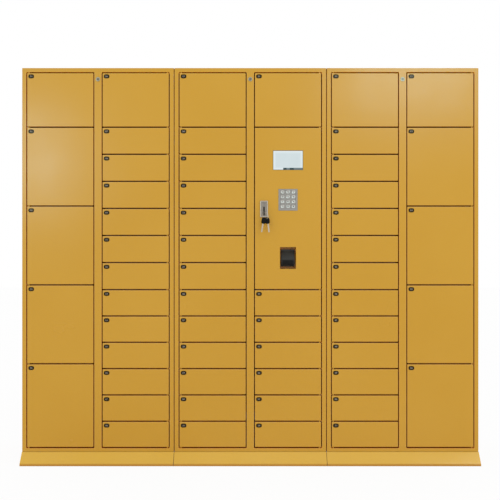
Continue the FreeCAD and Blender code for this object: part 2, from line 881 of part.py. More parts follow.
def spare_keys():
    """Two more keys on the ring, side by side, with a groove where the ring passes through the heads."""
    groove = Part.makeTorus(ring_radius, ring_wire_radius + ring_groove_gap, vec(ring_x, ring_y, ring_z),
                            vec(0, 1, 0))
    offset = (key_head_sheet + spare_head_gap) / 2
    heads = []
    blades = []
    for side, tilt in zip(sides, spare_key_tilts_deg):
        place = vec(ring_x + side * spare_key_spread, ring_y + side * offset, ring_z - ring_radius)
        heads.append(turned(key_head(), vec(0, 1, 0), tilt, place).cut(groove))
        blades.append(turned(key_blade(key_blade_length), vec(0, 1, 0), tilt, place))
    return heads, blades


def door_bodies():
    """Save every door or bank of doors, and gather the shelves, lugs and locks along the columns."""
    shelves = []
    lugs = []
    locks = []
    for letter, module, side, groups in columns:
        centre = centre_of(module)
        number = 0
        opening = frame_opening(centre, side, frame_corner_radius + lug_clearance)
        lugs.append(hinge_lug(centre, side, opening, line_high, True))
        for index, rows in enumerate(column_spans(groups)):
            for low, high in rows:
                last = low == rows[-1][0]
                lugs.append(hinge_lug(centre, side, opening, low, last))
                if low - line_low > touch:
                    shelves.extend(shelf(centre, side, low))
            if is_control(letter, index):
                continue
            solids = []
            for low, high in rows:
                middle = (low + high) / 2
                solids.append(door_leaf(centre, side, low + row_gap / 2, high - row_gap / 2))
                solids.append(door_hook(centre, side, middle))
                locks.append(electric_lock(centre, side, middle))
            solids.append(hinge_rod(centre, side, rows[-1][0] + row_gap / 2, rows[0][1] - row_gap / 2))
            first = number + 1
            number = number + len(rows)
            name = "door_%s%d" % (letter, first)
            if len(rows) > 1:
                name = "door_bank_%s%d_to_%s%d" % (letter, first, letter, number)
            save(name, solids)
    save("shelves", shelves)
    save("hinge_lugs", lugs)
    save("electric_locks", locks)


def build():
    """Write every sub-part."""
    os.makedirs("parts", exist_ok=True)
    modules = [centre_of(module) for module in range(module_count)]
    names = ("left", "middle", "right")
    boards = []
    housings = []
    skirts = []
    feet = []
    for name, centre in zip(names, modules):
        has_inlet = centre == control_centre
        save(name + "_cabinet", cabinet(centre, has_inlet))
        save(name + "_cam_lock", cam_plug(centre))
        boards.extend(lock_board(centre))
        housings.append(cam_housing(centre))
        skirts.append(skirt(centre))
        for side in sides:
            for y in (face_y + foot_inset, back_y - foot_inset):
                feet.append(levelling_foot(centre + side * (half_module - foot_inset), y))
    skirts.extend(skirt_end(side) for side in sides)
    skirts.extend(skirt_joint(centre + half_module) for centre in modules[:-1])
    save("lock_boards", boards)
    save("cam_lock_housings", housings)
    save("skirt_plates", skirts)
    save("levelling_feet", feet)
    save("power_supply", power_supply(control_centre))
    save("cable_gland", cable_gland(control_centre))
    door_bodies()
    save("control_door", control_leaf())
    save("control_computer", [control_computer()])
    save("display_housing", [display_housing()])
    save("display_glass", [display_glass()])
    save("keypad_plate", [keypad_plate()])
    for row in range(key_rows):
        save("keypad_row_%d" % (row + 1), keypad_row(row))
    body, window = scanner()
    save("scanner_housing", [body])
    save("scanner_window", [window])
    save("lock_case", [lock_case()])
    save("pull_flap", [pull_flap()])
    save("lock_plug", lock_plug())
    save("inserted_key", inserted_key())
    heads, blades = spare_keys()
    save("key_ring", [key_ring()] + blades)
    save("spare_keys", heads)


build()
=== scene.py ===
# %% [markdown]
# # Dressing a smart locker
#
# The locker is three sheet-steel cabinets, powder coated in honey yellow, with rows of numbered doors and
# one control door that carries a display, a keypad, a code scanner and a key lock. The solids come ready
# made from the CAD model, at their real size and place. This lesson gives every surface its finish, adds the
# small things that CAD leaves out, such as number badges and printed digits, and sets up light and camera.

import bpy
import numpy as np
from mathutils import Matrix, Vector


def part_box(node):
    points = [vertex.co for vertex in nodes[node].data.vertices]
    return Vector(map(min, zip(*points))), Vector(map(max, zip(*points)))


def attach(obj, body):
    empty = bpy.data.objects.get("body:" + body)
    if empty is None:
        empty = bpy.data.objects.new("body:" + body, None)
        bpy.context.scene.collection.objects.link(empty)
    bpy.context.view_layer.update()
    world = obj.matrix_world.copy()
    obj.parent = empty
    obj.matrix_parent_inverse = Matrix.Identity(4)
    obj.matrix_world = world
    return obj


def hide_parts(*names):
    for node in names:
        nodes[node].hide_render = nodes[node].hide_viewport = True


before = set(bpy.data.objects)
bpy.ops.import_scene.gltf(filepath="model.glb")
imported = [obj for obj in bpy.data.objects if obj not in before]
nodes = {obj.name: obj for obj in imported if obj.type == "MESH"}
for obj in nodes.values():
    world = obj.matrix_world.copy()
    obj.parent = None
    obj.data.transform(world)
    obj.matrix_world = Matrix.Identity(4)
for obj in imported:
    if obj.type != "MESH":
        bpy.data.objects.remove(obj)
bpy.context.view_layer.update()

# %% [markdown]
# ## Shader maths as expressions
#
# Blender's materials are node trees. Nodes could be made and linked one at a time, but then one formula soon
# takes a dozen lines. A small class can wrap an output socket and overload the operators instead, so that
# `1 - mask * 0.2` adds its own Math nodes. Everything else, such as a noise or a bump, comes from one method
# that takes the node's type, its settings and the values of its inputs.

# %% Sockets that can be added and multiplied
class Value:
    """An output socket of a material; each operator adds one Math node to its tree."""

    def __init__(self, tree, socket):
        self.tree = tree
        self.socket = socket

    def math(self, operation, first, *others):
        node = self.tree.nodes.new("ShaderNodeMath")
        node.operation = operation
        for socket, value in zip(node.inputs, (first,) + others):
            wire(self.tree, socket, value)
        return Value(self.tree, node.outputs[0])

    def __add__(self, other):
        return self.math("ADD", self, other)

    def __sub__(self, other):
        return self.math("SUBTRACT", self, other)

    def __mul__(self, other):
        return self.math("MULTIPLY", self, other)

    def __truediv__(self, other):
        return self.math("DIVIDE", self, other)

    def __rsub__(self, other):
        return self.math("SUBTRACT", other, self)

    def __gt__(self, other):
        return self.math("GREATER_THAN", self, other)

    def __lt__(self, other):
        return self.math("LESS_THAN", self, other)

    __radd__ = __add__

    def __abs__(self):
        return self.math("ABSOLUTE", self)

    def least(self, other):
        return self.math("MINIMUM", self, other)

    def most(self, other):
        return self.math("MAXIMUM", self, other)

    def folded(self, length):
        """The value run back and forth between 0 and length, so that one formula serves mirrored copies."""
        return self.math("PINGPONG", self, length)


def wire(tree, socket, value):
    """Link a Value to an input socket, or write a plain number, colour or vector into it."""
    if isinstance(value, Value):
        tree.links.new(value.socket, socket)
    else:
        socket.default_value = value


class Finish:
    """A material with one Principled shader, whose constants are set on the shader's own sockets."""

    def __init__(self, name, colour, **constants):
        self.material = bpy.data.materials.new(name)
        self.material.use_nodes = True
        self.tree = self.material.node_tree
        self.shader = self.tree.nodes["Principled BSDF"]
        self.shader.inputs["Base Color"].default_value = (*colour, 1)
        self.material.diffuse_color = (*colour, 1)
        for key, value in constants.items():
            self.shader.inputs[key.replace("_", " ")].default_value = value

    def node(self, kind, settings=None, output=0, **inputs):
        """Any node: its settings are written first, then its inputs by socket name."""
        node = self.tree.nodes.new("ShaderNode" + kind)
        for key, value in (settings or {}).items():
            setattr(node, key, value)
        for key, value in inputs.items():
            wire(self.tree, node.inputs[key.replace("_", " ")], value)
        return Value(self.tree, node.outputs[output])

    def place(self):
        """The point on the object, in metres, in the object's own frame."""
        return self.node("TexCoord", output=3)

    def axes(self):
        """The same point as three separate values."""
        point = self.place()
        parts = self.tree.nodes.new("ShaderNodeSeparateXYZ")
        wire(self.tree, parts.inputs[0], point)
        return [Value(self.tree, socket) for socket in parts.outputs]

    def stretched(self, scale):
        """The point with each axis multiplied, so that a pattern is drawn out along an axis."""
        return self.node("Mapping", Vector=self.place(), Scale=scale)

    def noise(self, scale, detail, vector=None):
        """A pattern from 0 to 1 with about so many waves to the metre, on the point or on a stretched one."""
        return self.node("TexNoise", Vector=vector or self.place(), Scale=scale, Detail=detail)

    def ramp(self, value, low, high, start=0.0, end=1.0):
        """A straight, clamped change from start to end while the value goes from low to high."""
        return self.node("MapRange", {"clamp": True}, Value=value, From_Min=low, From_Max=high,
                         To_Min=start, To_Max=end)

    def mix(self, factor, first, second):
        """A blend of two colours; each is a Value or three numbers."""
        node = self.tree.nodes.new("ShaderNodeMix")
        node.data_type = "RGBA"
        wire(self.tree, node.inputs[0], factor)
        for socket, colour in ((node.inputs[6], first), (node.inputs[7], second)):
            wire(self.tree, socket, colour if isinstance(colour, Value) else (*colour, 1))
        return Value(self.tree, node.outputs[2])

    def feed(self, **inputs):
        """Link values that change over the surface to the shader."""
        for key, value in inputs.items():
            wire(self.tree, self.shader.inputs[key.replace("_", " ")], value)

    def bump(self, height, distance, strength):
        """Raise the surface by height times distance, in metres."""
        self.feed(Normal=self.node("Bump", Height=height, Distance=distance, Strength=strength))


print("shader maths ready")

# %% [markdown]
# ## The door plan
#
# Edges and badges need to know where the doors are. That could be read off every door's mesh, but a shader
# needs plain numbers. Each column is a list of heights from the top down, so a running sum gives every gap
# between doors. Columns a and f have five tall doors; b, c and e have one tall door over twelve low ones; in d
# the control door takes the place of six of them. All lengths in this lesson are in metres.

# %% Gaps between the doors
module_pitch = 0.8016
door_near = 0.0241
door_far = 0.3727
frame_edge = 0.3992
face_y = -0.2275
door_gap = 0.005
row_gap = 0.0065
top_gap = 2.061
bottom_gap = 0.088
top_door = 0.287
upper_small = 0.1425
lower_small = (top_gap - bottom_gap - top_door - 6 * upper_small) / 6
large_door = 0.415
base_door = top_gap - bottom_gap - top_door - 3 * large_door

tall_column = np.array([top_door] + [large_door] * 3 + [base_door])
small_column = np.array([top_door] + [upper_small] * 6 + [lower_small] * 6)
control_column = np.array([top_door, 6 * upper_small] + [lower_small] * 6)
column_plans = {"a": (0, -1, tall_column), "b": (0, 1, small_column), "c": (1, -1, small_column),
                "d": (1, 1, control_column), "e": (2, -1, small_column), "f": (2, 1, tall_column)}


def gap_heights(heights):
    """Gap centre lines from the top: the first line less the running sum of the door heights."""
    return top_gap - np.concatenate(([0.0], np.cumsum(heights)))


for letter, (module, side, heights) in column_plans.items():
    print("column", letter, "doors", len(heights), "lowest gap", round(gap_heights(heights)[-1], 4))

# %% [markdown]
# ## Distance to an edge
#
# A painted highlight, a pale line along the folded edges, is what draws each door, and in the gaps painted
# shade changes the coat. Such marks could be painted by hand on each door. It is simpler to measure: three
# distances, worked out from the door plan, say how far a point is from the edge that catches light, from the
# walls of a gap, and from the lip of a gap.

# %% Distances from the door plan
# The pale edge set here is a painted highlight along the folded edges, drawn lower on upper edges, which catch
# more light.
painted_highlight_width = 0.003
top_edge_shift = 0.0012


def nearest(places, point):
    """The distance from a value to the closest of several places."""
    gaps = [abs(point - float(place)) for place in places]
    result = gaps[0]
    for gap in gaps[1:]:
        result = result.least(gap)
    return result


def door_reach(lines):
    """How far a point on a door is from its outline, half a gap from each gap line.

    The first result is for the painted highlight along the edge, and is moved down a little, because upper
    edges catch more light.
    The second and third, for the painted shade on gap walls and lips, are both the true distance, which is zero
    on the walls.
    """
    def reach(across, z):
        sides = nearest((door_near, door_far), across)
        pale = sides.least(nearest(lines - top_edge_shift, z) - row_gap / 2)
        outline = sides.least(nearest(lines, z) - row_gap / 2)
        return pale, outline, outline
    return reach


def frame_reach(across, z):
    """How far a point on the frame is from its opening (the larger of two signed distances) or its own edge.

    The first result is for the painted highlight along the edge, and is kept large on the top rail, which has
    none.
    The second, for the painted shade on gap walls, reaches a little further from the opening, so that it takes
    in what shows through the gap. The third, for the painted shade on lips, is the true distance from the
    opening.
    """
    sideways = (door_near - door_gap - across).most(across - door_far - door_gap)
    upright = (bottom_gap - row_gap / 2 - z).most(z - top_gap - row_gap / 2)
    opening, seam = abs(sideways.most(upright)), abs(across - frame_edge)
    pale = opening.least(seam) + (z > top_gap) * painted_highlight_width
    return pale, (opening - door_gap).least(seam), opening


print("pale edges", painted_highlight_width * 1000, "mm wide")

# %% [markdown]
# ## Honey-yellow powder coat
#
# Powder coat is melted on, so it is even in colour, satin, and has a fine ripple called orange peel. One flat
# colour would do from afar, but close by it looks like plastic. Clouds and ripple are noise in real
# millimetres. On the walls of the narrow gaps and at their very edges a red-brown tone is painted shade,
# redder on the frame than on the doors; under the top rail a paler tone is painted light instead.

# %% Powder coat
honey = (0.586, 0.293, 0.016)
honey_pale = (0.594, 0.300, 0.018)
honey_deep = (0.578, 0.286, 0.013)
# The next tone is a painted highlight along the folded edges.
painted_highlight_tone = (0.75, 0.48, 0.12)
# The next two tones are painted shade on the walls and lips of the gaps, on the doors and on the frame.
door_gap_shade = (0.46, 0.148, 0.009)
frame_gap_shade = (0.66, 0.14, 0.006)
# A paler tone painted in the gap under the top rail: painted light.
top_gap_painted_light = (0.86, 0.38, 0.02)
cloud_scale = 1.7
speck_scale = 160.0
speck_strength = 0.10
smudge_scale = 4.5
smudge_roughness = 0.05
peel_scale = 420.0
peel_height = 0.00006
highlight_patch_scale = 35.0
painted_highlight_strength = 0.75
fold_depth = 0.0022
shade_onset = 0.0003
gap_shade_depth = 0.035
gap_shade_width = 0.0008
gap_roughness = 0.7
stile_reach = 0.01


def edged(finish, colour, reach_of, gap_shade_tone):
    """A painted highlight on the front edges, and painted shade in the gaps; gives the colour and the mask of
    the gaps.
    """
    x, y, z = finish.axes()
    reach, gap_reach, lip_reach = reach_of(x.folded(module_pitch / 2), z)
    # Painted highlight: a pale tone along the front folds, in noisy patches.
    highlight_patches = finish.ramp(finish.noise(highlight_patch_scale, 2.0), 0.3, 0.7, 0.55, 1.0)
    front = finish.ramp(y, face_y, face_y + fold_depth, 1.0, 0.0)
    edge = finish.ramp(reach, 0.0, painted_highlight_width, 1.0, 0.0) * highlight_patches * front
    colour = finish.mix(edge * painted_highlight_strength, colour, painted_highlight_tone)
    # Painted shade: the walls and lips of the gaps take a dark red-brown tone.
    walls = finish.ramp(y, face_y + shade_onset, face_y + 3 * shade_onset) * (gap_reach < gap_shade_width)
    lips = finish.ramp(y, face_y - shade_onset, face_y + shade_onset) * (lip_reach < gap_shade_width)
    between_stiles = abs(x) < 1.5 * module_pitch - stile_reach
    gap_shade = walls.most(lips) * (y < face_y + gap_shade_depth) * between_stiles
    # Under the top rail the gap takes the paler tone instead, which is painted light.
    under_rail = z > top_gap - row_gap
    return finish.mix(gap_shade, colour, finish.mix(under_rail, gap_shade_tone, top_gap_painted_light)), gap_shade


def powder_coat(name, reach_of=None, lift=(1.0, 1.0, 1.0), satin=0.23, trim=None, gap_shade_tone=door_gap_shade):
    """Yellow powder coat: lift multiplies its channels, satin is its roughness, trim adds to its colour."""
    finish = Finish(name, honey, Roughness=0.26, Specular_IOR_Level=0.42)
    deep, pale = [tuple(np.multiply(tone, lift).tolist()) for tone in (honey_deep, honey_pale)]
    colour = finish.mix(finish.ramp(finish.noise(cloud_scale, 3.0), 0.35, 0.65), deep, pale)
    speck = finish.ramp(finish.noise(speck_scale, 1.0), 0.68, 0.78)
    colour = finish.mix(speck * speck_strength, colour, honey_deep)
    smudge = finish.ramp(finish.noise(smudge_scale, 4.0), 0.4, 0.75)
    gloss = satin + smudge * smudge_roughness
    if reach_of is not None:
        colour, gap_shade = edged(finish, colour, reach_of, gap_shade_tone)
        gloss = gloss + gap_shade * gap_roughness
    if trim is not None:
        colour = trim(finish, colour)
    finish.feed(Base_Color=colour, Roughness=gloss)
    finish.bump(finish.noise(peel_scale, 1.0), peel_height, 0.5)
    return finish.material


tall_coat = powder_coat("powder_coat_tall_doors", door_reach(gap_heights(tall_column)))
small_coat = powder_coat("powder_coat_small_doors", door_reach(gap_heights(small_column)))
lug_coat = powder_coat("powder_coat_lugs")
print("plain powder coats: 3")

# %% [markdown]
# ## Where the coat differs
#
# Some places need one more tone: the seams between the cabinets get painted shade, the scanner's pocket a
# warmer painted light, the skirt's low lip painted shade beside its dark cut ends, and the shelves' front lips
# painted shade. Each could be a separate piece with its own material. A short function that changes the coat's
# colour within limits keeps the sheet in one piece, as it is in steel.

# %% Trims of the coat
# Painted shade in the seams between the cabinets.
seam_shade_tone = (0.34, 0.085, 0.004)
seam_fade = 0.0016
# Painted light: light bounced inside the scanner's pocket.
pocket_painted_light = (0.80, 0.34, 0.012)
pocket_margin = 0.012
pocket_start = 0.001
pocket_full = 0.003
# Painted shade on the skirt's low lip, fading out above it.
lip_shade_tone = (0.50, 0.22, 0.011)
cut_tone = (0.17, 0.065, 0.006)
skirt_knee = 0.0118
skirt_cut = 0.0014
skirt_fade = 0.006
skirt_fade_strength = 0.45
# The skirt's same coat is painted paler here: painted light on its upward slope.
skirt_painted_light_lift = (1.21, 1.38, 2.8)
skirt_satin = 0.1
# Painted shade on the shelves' front lips.
shelf_lip_shade_tone = (0.46, 0.16, 0.010)
shelf_lip_start = 0.030
shelf_lip_end = 0.036


def seam_trim(finish, colour):
    """Painted shade: a dark red-brown tone on the walls of the two seams between the cabinets, where the sheets
    stand closest.
    """
    x, y, z = finish.axes()
    seam = (x.folded(module_pitch / 2) > frame_edge - gap_shade_width) * (abs(x) < module_pitch)
    depth = finish.ramp(y, face_y + shade_onset, face_y + seam_fade) * (y < face_y + gap_shade_depth)
    return finish.mix(seam * depth, colour, seam_shade_tone)


def pocket_trim(finish, colour):
    """Painted light: a warmer, brighter tone behind the face, within a margin round the scanner's box, for
    light bounced in the pocket.
    """
    low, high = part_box("scanner_housing")
    x, y, z = finish.axes()
    inside = (x > low.x - pocket_margin) * (x < high.x + pocket_margin)
    inside = inside * (z > low.z - pocket_margin) * (z < high.z + pocket_margin)
    depth = finish.ramp(y, face_y + pocket_start, face_y + pocket_full)
    return finish.mix(inside * depth, colour, pocket_painted_light)


def skirt_trim(finish, colour):
    """Painted shade on the skirt's low lip, fading out above it, and dark cut ends where two lengths meet."""
    x, y, z = finish.axes()
    ends = (x.folded(module_pitch / 2) > module_pitch / 2 - skirt_cut) * (abs(x) < module_pitch)
    fade = finish.ramp(z, skirt_knee, skirt_knee + skirt_fade, skirt_fade_strength, 0.0)
    colour = finish.mix(fade.most(z < skirt_knee), colour, lip_shade_tone)
    return finish.mix(ends, colour, cut_tone)


def shelf_trim(finish, colour):
    """Painted shade on the shelves' front lips, which are what shows through the gaps between the doors."""
    y = finish.axes()[1]
    lip = finish.ramp(y, face_y + shelf_lip_start, face_y + shelf_lip_end, 1.0, 0.0)
    return finish.mix(lip, colour, shelf_lip_shade_tone)


control_coat = powder_coat("powder_coat_control_door", door_reach(gap_heights(control_column)[1:3]),
                           trim=pocket_trim)
frame_coat = powder_coat("powder_coat_cabinets", frame_reach, trim=seam_trim, gap_shade_tone=frame_gap_shade)
# The lift paints the skirt paler than the same coat elsewhere, which is painted light.
skirt_coat = powder_coat("powder_coat_skirt", lift=skirt_painted_light_lift, satin=skirt_satin, trim=skirt_trim)
shelf_coat = powder_coat("powder_coat_inside", trim=shelf_trim)
print("trimmed powder coats: 4")

# %% [markdown]
# ## Metals
#
# The locks on the front are cast and plated, so they are metallic with a soft grain. The electric locks behind
# the doors are yellow-passivated zinc, a little of which shows through the gaps. The keypad plate is brushed
# aluminium: noise stretched along one axis gives its hairlines. The grain could be modelled, but it stands out
# by less than a tenth of a millimetre, so bump is enough, with a noise scale in the real size of each grain.

# %% Cast, plated and brushed metal
patch_scale = 60.0
patch_shade = 0.8
grain_scale = 900.0
grain_height = 0.00004
grain_roughness = 0.2
hair_shade = 0.82
hair_height = 0.00003
hair_roughness = 0.25


def shaded(colour, share):
    """The colour with every channel multiplied."""
    return tuple(channel * share for channel in colour)


def cast_metal(name, colour, roughness, grain=grain_scale):
    """Plated or cast metal with a fine grain in its gloss and a few darker patches."""
    finish = Finish(name, colour, Metallic=1.0)
    patches = finish.ramp(finish.noise(patch_scale, 3.0), 0.4, 0.7)
    grains = finish.noise(grain, 2.0)
    finish.feed(Base_Color=finish.mix(patches, colour, shaded(colour, patch_shade)),
                Roughness=roughness + (grains - 0.5) * grain_roughness)
    finish.bump(grains, grain_height, 0.4)
    return finish.material


def brushed_metal(name, colour, roughness, stretch):
    """Metal with hairlines: noise that is long along one axis and short along the others."""
    finish = Finish(name, colour, Metallic=0.85)
    hair = finish.noise(1.0, 3.0, finish.stretched(stretch))
    finish.feed(Base_Color=finish.mix(finish.ramp(hair, 0.3, 0.7), shaded(colour, hair_shade), colour),
                Roughness=roughness + (hair - 0.5) * hair_roughness)
    finish.bump(hair, hair_height, 0.5)
    return finish.material


lock_metal = cast_metal("plated_lock_metal", (0.36, 0.33, 0.24), 0.34)
plug_metal = cast_metal("lock_plug_metal", (0.30, 0.27, 0.22), 0.3)
flap_metal = cast_metal("pull_flap_metal", (0.29, 0.25, 0.21), 0.36)
cam_metal = cast_metal("cam_plug_metal", (0.20, 0.16, 0.12), 0.3)
ring_metal = cast_metal("key_steel", (0.54, 0.46, 0.36), 0.3)
zinc_metal = cast_metal("yellow_zinc_plate", (0.50, 0.22, 0.05), 0.5, 500.0)
keypad_metal = brushed_metal("keypad_plate_metal", (0.34, 0.31, 0.28), 0.42, (60.0, 900.0, 2200.0))
cap_metal = cast_metal("key_cap_metal", (0.52, 0.495, 0.45), 0.36, 1400.0)
case_metal = brushed_metal("inner_case_metal", (0.45, 0.46, 0.47), 0.4, (900.0, 900.0, 30.0))
print("metals: 9")

# %% [markdown]
# ## The lock case
#
# The lock case is one plated casting with three looks: a pale rim, a blasted panel inside it, and a dark floor
# behind the flap's notch, which is painted shade. It could be cut into three pieces. Since rim and panel are
# set apart by their distance from the case's own box, and the floor by its depth, one material does it.

# %% Lock case
case_rim_tone = (0.52, 0.46, 0.38)
case_panel_tone = (0.29, 0.25, 0.21)
# Painted shade on the deep floor of the case's recess.
case_recess_shade = (0.05, 0.042, 0.035)
case_rim_inner = 0.0046
case_panel_outer = 0.0052
case_floor_start = 0.0035
case_floor_full = 0.0055


def lock_case_finish():
    """Rim, panel and a painted-shade floor by box distances: the panel where the inset is large, the floor
    where y is deep.
    """
    low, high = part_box("lock_case")
    finish = Finish("lock_case_metal", case_rim_tone, Metallic=1.0)
    x, y, z = finish.axes()
    inset = (x - low.x).least(high.x - x).least((z - low.z).least(high.z - z))
    panel = finish.ramp(inset, case_rim_inner, case_panel_outer)
    floor = finish.ramp(y, low.y + case_floor_start, low.y + case_floor_full)
    grains = finish.noise(grain_scale, 2.0)
    colour = finish.mix(panel, case_rim_tone, case_panel_tone)
    colour = finish.mix(floor * panel, colour, case_recess_shade)
    finish.feed(Base_Color=colour, Roughness=0.3 + panel * 0.08 + (grains - 0.5) * grain_roughness)
    finish.bump(grains, grain_height, 0.4)
    return finish.material


case_coat = lock_case_finish()
print("lock case rim", case_rim_inner * 1000, "mm")

# %% [markdown]
# ## Plastics, boards and prints
#
# Plastics here are dark with a fine moulded grain, and slightly uneven in gloss. A plain dark colour would look
# like a hole, so a haze and a grain are added, again in real size. The badges' gloss is tinted, so that the
# white surroundings make them a warm black and not grey. The boards inside are green with tracks, drawn by
# the edges of a cell pattern.

# %% Plastics and boards
haze_scale = 30.0
haze_gain = 1.35
haze_floor = 0.003
haze_roughness = 0.08
fine_grain = 2500.0
print_depth = 0.00001


def moulded(name, colour, roughness, grain=1200.0, depth=0.00005, gloss=0.4, sheen=(1.0, 1.0, 1.0)):
    """Moulded plastic with a fine spark-eroded grain and slightly uneven gloss; sheen tints what it mirrors."""
    finish = Finish(name, colour, Specular_IOR_Level=gloss, Specular_Tint=(*sheen, 1.0))
    grains = finish.noise(grain, 2.0)
    haze = finish.ramp(finish.noise(haze_scale, 3.0), 0.35, 0.7)
    lifted = tuple(channel * haze_gain + haze_floor for channel in colour)
    finish.feed(Base_Color=finish.mix(haze, colour, lifted), Roughness=roughness + haze * haze_roughness)
    finish.bump(grains, depth, 0.6)
    return finish.material


badge_black = moulded("badge_black", (0.010, 0.005, 0.001), 0.24, fine_grain, print_depth,
                      gloss=0.28, sheen=(1.0, 0.82, 0.5))
badge_white = moulded("badge_digits", (0.27, 0.235, 0.20), 0.5, fine_grain, print_depth, gloss=0.2)
digit_ink = moulded("key_digits", (0.035, 0.033, 0.030), 0.5, fine_grain, print_depth)
scanner_black = moulded("scanner_plastic", (0.026, 0.025, 0.022), 0.45, 900.0, 0.00008, gloss=0.18)
key_black = moulded("key_head_plastic", (0.006, 0.005, 0.004), 0.42, 900.0, gloss=0.08)
housing_black = moulded("housing_plastic", (0.022, 0.022, 0.023), 0.48)
foot_rubber = moulded("foot_rubber", (0.02, 0.02, 0.02), 0.7, 600.0)

mask_green = (0.02, 0.13, 0.05)
track_green = (0.10, 0.30, 0.12)
track_scale = 160.0


def circuit_board():
    """Green solder mask with paler tracks from a cell pattern."""
    finish = Finish("circuit_board", mask_green, Roughness=0.4)
    tracks = finish.node("TexVoronoi", {"feature": "DISTANCE_TO_EDGE"}, Vector=finish.place(),
                         Scale=track_scale)
    line = finish.ramp(tracks, 0.02, 0.06, 1.0, 0.0)
    finish.feed(Base_Color=finish.mix(line * 0.6, mask_green, track_green))
    finish.bump(line, 0.0001, 0.5)
    return finish.material


board_green = circuit_board()
print("plastics and prints: 8")

# %% [markdown]
# ## The display and the scanner's window
#
# The display is a lit screen behind glass: pale blue-white, a little brighter towards its rim, a thin dark
# border printed on the glass, and a dark strip at the lower right as a task bar. A picture could be laid on
# it, but distances from the glass's own box draw the same at any size. It glows, so the screen keeps its
# colour when the door stands in shade. The scanner's window is nearly black glass.

# %% Display glass
glass_low, glass_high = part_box("display_glass")
screen_glow = 0.72
screen_shade = 0.75
page_tone = (0.62, 0.70, 0.72)
page_rim_tone = (0.78, 0.85, 0.86)
page_cloud_tone = (0.70, 0.77, 0.78)
page_rim = (0.003, 0.017)
border_tone = (0.07, 0.075, 0.06)
border_edge = (0.0014, 0.0024)
bar_tone = (0.005, 0.045, 0.060)
bar_block_tone = (0.24, 0.30, 0.31)
bar_start = 0.34
bar_height = 0.0115
bar_parts = 6


def display_finish():
    """A lit page by box distances: border where the distance to the glass's edge is small, bar by limits."""
    finish = Finish("display_screen", (0.6, 0.7, 0.72), Roughness=0.12, Emission_Strength=screen_glow)
    x, y, z = finish.axes()
    side_reach = (x - glass_low.x).least(glass_high.x - x)
    end_reach = (z - glass_low.z).least(glass_high.z - z)
    reach = side_reach.least(end_reach)
    page = finish.mix(finish.ramp(reach, *page_rim, 1.0, 0.0), page_tone, page_rim_tone)
    cloud = finish.ramp(finish.noise(18.0, 2.0), 0.35, 0.65)
    page = finish.mix(cloud * 0.25, page, page_cloud_tone)
    bar_left = glass_low.x + (glass_high.x - glass_low.x) * bar_start
    in_bar = (x > bar_left) * (z < glass_low.z + bar_height)
    along = (x - bar_left) / ((glass_high.x - bar_left) / bar_parts)
    blocks = (along > 1.0) * (along < 2.0) * 0.7 + (along > 3.2) * 0.55
    page = finish.mix(in_bar, page, finish.mix(blocks, bar_tone, bar_block_tone))
    page = finish.mix(finish.ramp(reach, *border_edge, 1.0, 0.0), page, border_tone)
    finish.feed(Base_Color=finish.mix(screen_shade, page, (0.0, 0.0, 0.0)), Emission_Color=page)
    return finish.material


display_coat = display_finish()
print("screen", [round(v * 1000, 1) for v in glass_high - glass_low], "mm")

# %% Scanner window
window_tone = (0.007, 0.007, 0.006)
window_haze_tone = (0.013, 0.012, 0.011)
window_roughness = 0.3


def window_finish():
    """The scanner's dark window: nearly black glass with a faint haze."""
    finish = Finish("scanner_window", window_tone, Roughness=window_roughness, Specular_IOR_Level=0.12)
    haze = finish.ramp(finish.noise(90.0, 2.0), 0.4, 0.7)
    finish.feed(Base_Color=finish.mix(haze, window_tone, window_haze_tone),
                Roughness=window_roughness + haze * 0.1)
    return finish.material


window_coat = window_finish()
print("scanner window ready")

# %% [markdown]
# ## Finishes on the CAD nodes
#
# A node keeps its mesh, and only its material slot changes. Its edges could be rounded in CAD, but so small a
# radius is quicker here, by modifiers that leave the mesh itself alone. A weld merges the loose triangles,
# and a bevel can then find the edges between faces. The normals stored in the CAD mesh no longer fit after
# that, so they are dropped, creases are found again by angle, and weighted normals keep flat faces flat.

# %% Dress the CAD nodes
finish_of = {
    "left_cabinet": frame_coat, "middle_cabinet": frame_coat, "right_cabinet": frame_coat,
    "shelves": shelf_coat, "skirt_plates": skirt_coat, "control_door": control_coat,
    "levelling_feet": foot_rubber, "hinge_lugs": lug_coat, "electric_locks": zinc_metal,
    "lock_boards": board_green, "power_supply": case_metal, "control_computer": case_metal,
    "cable_gland": housing_black, "cam_lock_housings": lock_metal, "left_cam_lock": cam_metal,
    "middle_cam_lock": cam_metal, "right_cam_lock": cam_metal, "display_housing": housing_black,
    "display_glass": display_coat, "keypad_plate": keypad_metal, "scanner_housing": scanner_black,
    "scanner_window": window_coat, "lock_case": case_coat, "pull_flap": flap_metal, "lock_plug": plug_metal,
    "inserted_key": key_black, "spare_keys": key_black, "key_ring": ring_metal,
}
for name, node in nodes.items():
    coat = finish_of.get(name, cap_metal if name.startswith("keypad_row") else None)
    if coat is None:
        coat = tall_coat if name.split("_")[1][0] in "af" else small_coat
    for holder in node.material_slots:
        holder.material = coat
print("dressed", len(nodes), "nodes")

# %% Round the edges that show
bevel_widths = {"lock_case": 0.0006, "pull_flap": 0.0009, "scanner_housing": 0.0015, "keypad_plate": 0.0005,
                "cam_lock_housings": 0.0006, "display_glass": 0.0003, "inserted_key": 0.0007,
                "control_door": 0.0005}
door_bevel = 0.0006
weld_distance = 0.00001
crease_angle = np.radians(30.0)


